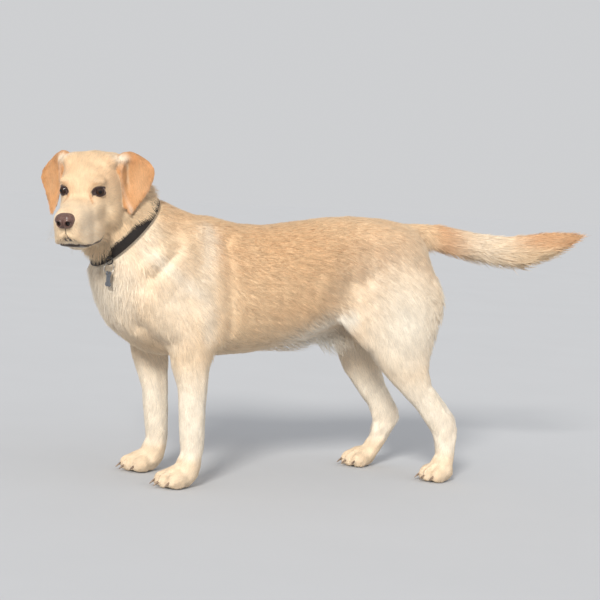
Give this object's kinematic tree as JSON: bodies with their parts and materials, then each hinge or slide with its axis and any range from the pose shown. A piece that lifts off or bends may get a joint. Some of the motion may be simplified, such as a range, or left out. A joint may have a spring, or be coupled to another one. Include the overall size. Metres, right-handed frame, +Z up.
{
  "type": "labrador retriever dog model",
  "caption": "Standing life-size model of a short-coated yellow retriever dog with a turned head, level tail, leather collar and plain tag.",
  "frame": {"origin": "on the floor, under the middle of the model's box", "axes": "the dog faces -Y, its left side is +X, +Z is up"},
  "size_m": [0.3016, 1.2562, 0.683],
  "materials": {
    "coat": "short dense double coat, cream to golden tan, slightly glossy",
    "ear_coat": "short soft hair, orange tan",
    "nose_leather": "damp pebbled nose leather, brown with pink",
    "eye": "wet dark brown eye",
    "horn": "horn, satin",
    "collar_leather": "black leather, softly worn",
    "steel": "plain steel, slightly dull",
    "tag_metal": "grey metal, brushed, bare of any marking"
  },
  "bodies": {
    "root": {"trunk": "coat", "neck": "coat", "head": "coat", "lower_jaw": "coat", "tail": "coat", "upper_arm_left": "coat", "forearm_left": "coat", "paw_front_left": "coat", "thigh_left": "coat", "shank_left": "coat", "pastern_left": "coat", "paw_hind_left": "coat", "ear_left": "ear_coat", "eye_left": "eye", "upper_arm_right": "coat", "forearm_right": "coat", "paw_front_right": "coat", "thigh_right": "coat", "shank_right": "coat", "pastern_right": "coat", "paw_hind_right": "coat", "ear_right": "ear_coat", "eye_right": "eye", "claw_front_left_1": "horn", "claw_front_left_2": "horn", "claw_front_left_3": "horn", "claw_front_left_4": "horn", "claw_front_right_1": "horn", "claw_front_right_2": "horn", "claw_front_right_3": "horn", "claw_front_right_4": "horn", "claw_hind_left_1": "horn", "claw_hind_left_2": "horn", "claw_hind_left_3": "horn", "claw_hind_left_4": "horn", "claw_hind_right_1": "horn", "claw_hind_right_2": "horn", "claw_hind_right_3": "horn", "claw_hind_right_4": "horn", "nose_pad": "nose_leather", "collar_band": "collar_leather", "collar_buckle": "steel", "ring_holder": "collar_leather", "collar_ring": "steel", "split_ring": "steel", "tag": "tag_metal"}
  },
  "joints": []
}
